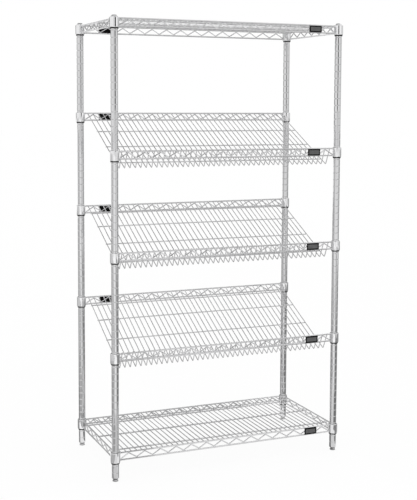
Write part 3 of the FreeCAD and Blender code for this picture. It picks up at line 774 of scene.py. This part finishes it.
def make_labels(shelf):
    """Holders on the outside of the trusses; the bottom shelf has one at the front only."""
    holders, cards = Shape(), Shape()
    seat = RIM_RADIUS + PRESS_CLEARANCE
    recess_floor = seat + LABEL_THICKNESS - LABEL_RECESS
    # A holder hooks on at the second wave of a truss, counted from its end
    trough, crest = truss_bends(SPAN_X)[2:4]
    labels = [("front", SPAN_X - crest, SPAN_X - trough, 1)]
    if shelf != "bottom":
        labels.append(("back", crest, trough, -1))
    for end, crest_x, trough_x, outward in labels:
        facing = -1 if end == "front" else 1
        base, lift = (0, 0) if end == "front" else (SPAN_Y, drop(shelf))
        middle = Vector((crest_x + outward * LABEL_SHIFT, base, lift + (LOW_RIM + TOP_RIM) / 2))
        plate(holders, shelf, middle, facing, seat, holder_layers())
        plate(cards, shelf, middle, facing, recess_floor, label_card_layers())
        lug(holders, shelf, crest_x, base, facing, lift + LOW_RIM, -1)
        lug(holders, shelf, trough_x, base, facing, lift + TOP_RIM, 1)
    dress(holders, f"{shelf}_label_holders", f"{shelf}_shelf")
    dress(cards, f"{shelf}_label_cards", f"{shelf}_shelf")


make_posts()
for shelf in FLAT_SHELVES + SLANTED_SHELVES:
    make_corners(shelf)
    make_rims(shelf)
    make_trusses(shelf)
    make_labels(shelf)
for shelf in FLAT_SHELVES:
    make_flat_deck(shelf)
for shelf in SLANTED_SHELVES:
    make_slanted_deck(shelf)


# Studio: a white room with a pale floor, and grey cards that only reflections can see

UP, DOWN = (0, 0, 1), (0, 0, -1)
TO_BACK, TO_FRONT = (0, 1, 0), (0, -1, 0)
TO_RIGHT, TO_LEFT = (1, 0, 0), (-1, 0, 0)
TO_FRONT_LEFT_POST = (-0.17, 0.186, 0)

# Chosen so that the chrome shows bright and dark bands like those in the photograph:
# name, middle, the way that the card faces, its width and height, and its tone
STUDIO_CARDS = (
    # Overhead
    ("ceiling", (-0.6, 1.4, 3.6), DOWN, (4.4, 4.4), 0.18),
    ("front_flag", (0, -2.0, 3.6), DOWN, (5, 0.8), 0.20),
    # Standing behind the unit
    ("back_flag", (-0.5, 5.5, 1.8), TO_FRONT, (9, 1.4), 0.22),
    ("back_low", (-0.2, 1.0, 0.45), TO_FRONT, (3, 0.7), 0.42),
    # Standing in front of it
    ("front_card", (0, -5.6, 1.2), TO_BACK, (12, 4.8), 0.72),
    ("front_low", (-2.25, -5.55, 0.4), TO_BACK, (7.5, 1.0), 0.92),
    ("dark_strip", (-0.2, -1.65, 1.85), TO_BACK, (0.7, 1.1), 0),
    ("grey_strip", (-0.2, -1.65, 0.75), TO_BACK, (0.3, 1.1), 0.58),
    ("bright_strip", (0.65, -1.65, 1.85), TO_BACK, (0.7, 1.1), 1),
    ("post_fin", (-0.27, -0.396, 0.235), TO_FRONT_LEFT_POST, (0.13, 0.43), 0.25),
    # Standing at its sides
    ("left_front", (-5.0, -2.5, 0.55), TO_RIGHT, (3, 1.1), 0.70),
    ("left_low", (-5.0, 2.0, 0.55), TO_RIGHT, (6, 1.1), 0.55),
    ("left_high", (-5.0, 0.5, 2.35), TO_RIGHT, (9, 2.5), 0.85),
    ("right_low", (5.0, 0.5, 0.55), TO_LEFT, (9, 1.1), 0.42),
    ("right_high", (5.0, 0.5, 2.35), TO_LEFT, (9, 2.5), 0.65),
    # Lying just above the floor, the upper one of two that overlap a little higher
    ("front_near", (-0.775, -0.615, 0.004), UP, (0.85, 0.77), 0.72),
    ("front_bright", (0.075, -0.615, 0.004), UP, (0.85, 0.77), 0.82),
    ("front_gap", (0.43, -0.725, 0.005), UP, (0.14, 0.55), 0.22),
    ("front_left", (-0.805, -0.52, 0.006), UP, (0.49, 0.56), 0.42),
    ("front_corner", (0.85, -0.615, 0.004), UP, (0.7, 0.77), 0.22),
    ("front_floor", (-0.75, -3.35, 0.004), UP, (2.5, 4.7), 0.95),
    ("front_right", (1.45, -3.35, 0.005), UP, (1.9, 4.7), 0.22),
    ("right_patch", (1.8, -2.55, 0.006), UP, (1.2, 1.3), 0.60),
    # The next two cards are painted shade: dark sheets under the unit that put its shade on the floor into
    # the chrome's reflections
    ("painted_shade_under_front", (0.02, -0.095, 0.003), UP, (0.88, 0.25), 0.24),
    ("painted_shade_under_back", (-0.05, 0.125, 0.003), UP, (0.70, 0.19), 0.24),
    ("left_gap", (-1.0, -0.025, 0.003), UP, (0.40, 0.45), 0.48),
    ("left_step", (-0.625, -0.11, 0.003), UP, (0.35, 0.28), 0.40),
    ("left_near", (-0.83, 2.1, 0.005), UP, (0.74, 3.8), 0.30),
    ("left_floor", (-1.55, 0.8, 0.004), UP, (0.7, 6.4), 0.45),
    ("left_far", (-3.45, 0.8, 0.004), UP, (3.1, 6.4), 0.60),
    ("right_near", (0.83, 1.9, 0.005), UP, (0.74, 4.2), 0.25),
    ("right_floor", (3.1, 0.8, 0.004), UP, (3.8, 6.4), 0.28),
    ("back_near", (0, 0.95, 0.004), UP, (0.9, 1.2), 0.25),
)
FLOOR_SIZE = 80
FLOOR_TONE = 0.98
FLOOR_ROUGHNESS = 0.8
# How much of the floor is plain white to the camera and in reflections; the rest takes the shadow
FLOOR_WHITE = 0.92


def sheet(name, width, height, material):
    """A flat rectangle about its own middle."""
    x, y = width / 2, height / 2
    mesh = bpy.data.meshes.new(name)
    mesh.from_pydata([(-x, -y, 0), (x, -y, 0), (x, y, 0), (-x, y, 0)], [], [(0, 1, 2, 3)])
    mesh.materials.append(material)
    return add_object(name, mesh)


def make_studio_card(name, middle, way, size, tone):
    """A card of one even tone, which gives no light to matt surfaces."""
    look = Look(name)
    glow = look.add("ShaderNodeEmission", Color=(tone, tone, tone, 1))
    look.link(glow.outputs["Emission"], look.surface)
    look.tree.nodes.remove(look.shader)
    obj = sheet(name, *size, look.material)
    turn = Vector(way).to_track_quat("Z", "Y").to_matrix().to_4x4()
    obj.matrix_world = Matrix.Translation(middle) @ turn
    obj.visible_camera = False
    obj.visible_diffuse = False
    obj.visible_shadow = False


def make_floor():
    """A pale floor that runs into the white room and keeps the unit's shadow."""
    look = Look("floor")
    look.shader.inputs["Base Color"].default_value = (FLOOR_TONE, FLOOR_TONE, FLOOR_TONE, 1)
    look.shader.inputs["Roughness"].default_value = FLOOR_ROUGHNESS
    ray = look.add("ShaderNodeLightPath")
    seen = look.add("ShaderNodeMath", operation="MAXIMUM")
    look.link(ray.outputs["Is Camera Ray"], seen.inputs[0])
    look.link(ray.outputs["Is Glossy Ray"], seen.inputs[1])
    seen_or_through = look.add("ShaderNodeMath", operation="MAXIMUM")
    look.link(seen.outputs[0], seen_or_through.inputs[0])
    look.link(ray.outputs["Is Transmission Ray"], seen_or_through.inputs[1])
    share = look.add("ShaderNodeMath", operation="MULTIPLY")
    look.link(seen_or_through.outputs[0], share.inputs[0])
    share.inputs[1].default_value = FLOOR_WHITE
    white = look.add("ShaderNodeEmission")
    mix = look.add("ShaderNodeMixShader")
    look.link(share.outputs[0], mix.inputs["Fac"])
    look.link(look.shader.outputs["BSDF"], mix.inputs[1])
    look.link(white.outputs["Emission"], mix.inputs[2])
    look.link(mix.outputs["Shader"], look.surface)
    obj = sheet("floor", FLOOR_SIZE, FLOOR_SIZE, look.material)


def make_room():
    """White all round, at the strength of plain white."""
    world = bpy.data.worlds.new("room")
    world.use_nodes = True
    background = world.node_tree.nodes["Background"]
    background.inputs["Color"].default_value = (1, 1, 1, 1)
    background.inputs["Strength"].default_value = 1
    scene.world = world
    scene.view_settings.view_transform = "Standard"


for card in STUDIO_CARDS:
    make_studio_card(*card)
make_floor()
make_room()


# Camera, fitted to the collars in the photograph with the lens shift held down
IMAGE_HEIGHT = 500
FOCAL_PIXELS = 1032.1
# The row of the photograph that the lens axis meets
AXIS_ROW = 187
CAMERA_PLACE = Vector((-1.538, -3.610, 1.336))
CAMERA_YAW = math.radians(23.11)
CAMERA_PITCH = math.radians(4.66)
CAMERA_ROLL = math.radians(0.27)


def make_camera():
    """Looks to the back, turned to the right by the yaw, down by the pitch and aside by the roll."""
    data = bpy.data.cameras.new("camera")
    # The frame is upright, so the sensor's width lies along its height
    data.lens = FOCAL_PIXELS / IMAGE_HEIGHT * data.sensor_width
    data.shift_y = (AXIS_ROW - IMAGE_HEIGHT / 2) / IMAGE_HEIGHT
    forward = Vector((math.sin(CAMERA_YAW) * math.cos(CAMERA_PITCH),
                      math.cos(CAMERA_YAW) * math.cos(CAMERA_PITCH), -math.sin(CAMERA_PITCH)))
    level_right = Vector((math.cos(CAMERA_YAW), -math.sin(CAMERA_YAW), 0))
    level_up = level_right.cross(forward)
    right = level_right * math.cos(CAMERA_ROLL) + level_up * math.sin(CAMERA_ROLL)
    up = level_up * math.cos(CAMERA_ROLL) - level_right * math.sin(CAMERA_ROLL)
    turn = Matrix((right, up, -forward)).transposed()
    obj = add_object("camera", data)
    obj.matrix_world = Matrix.Translation(CAMERA_PLACE) @ turn.to_4x4()
    scene.camera = obj


make_camera()
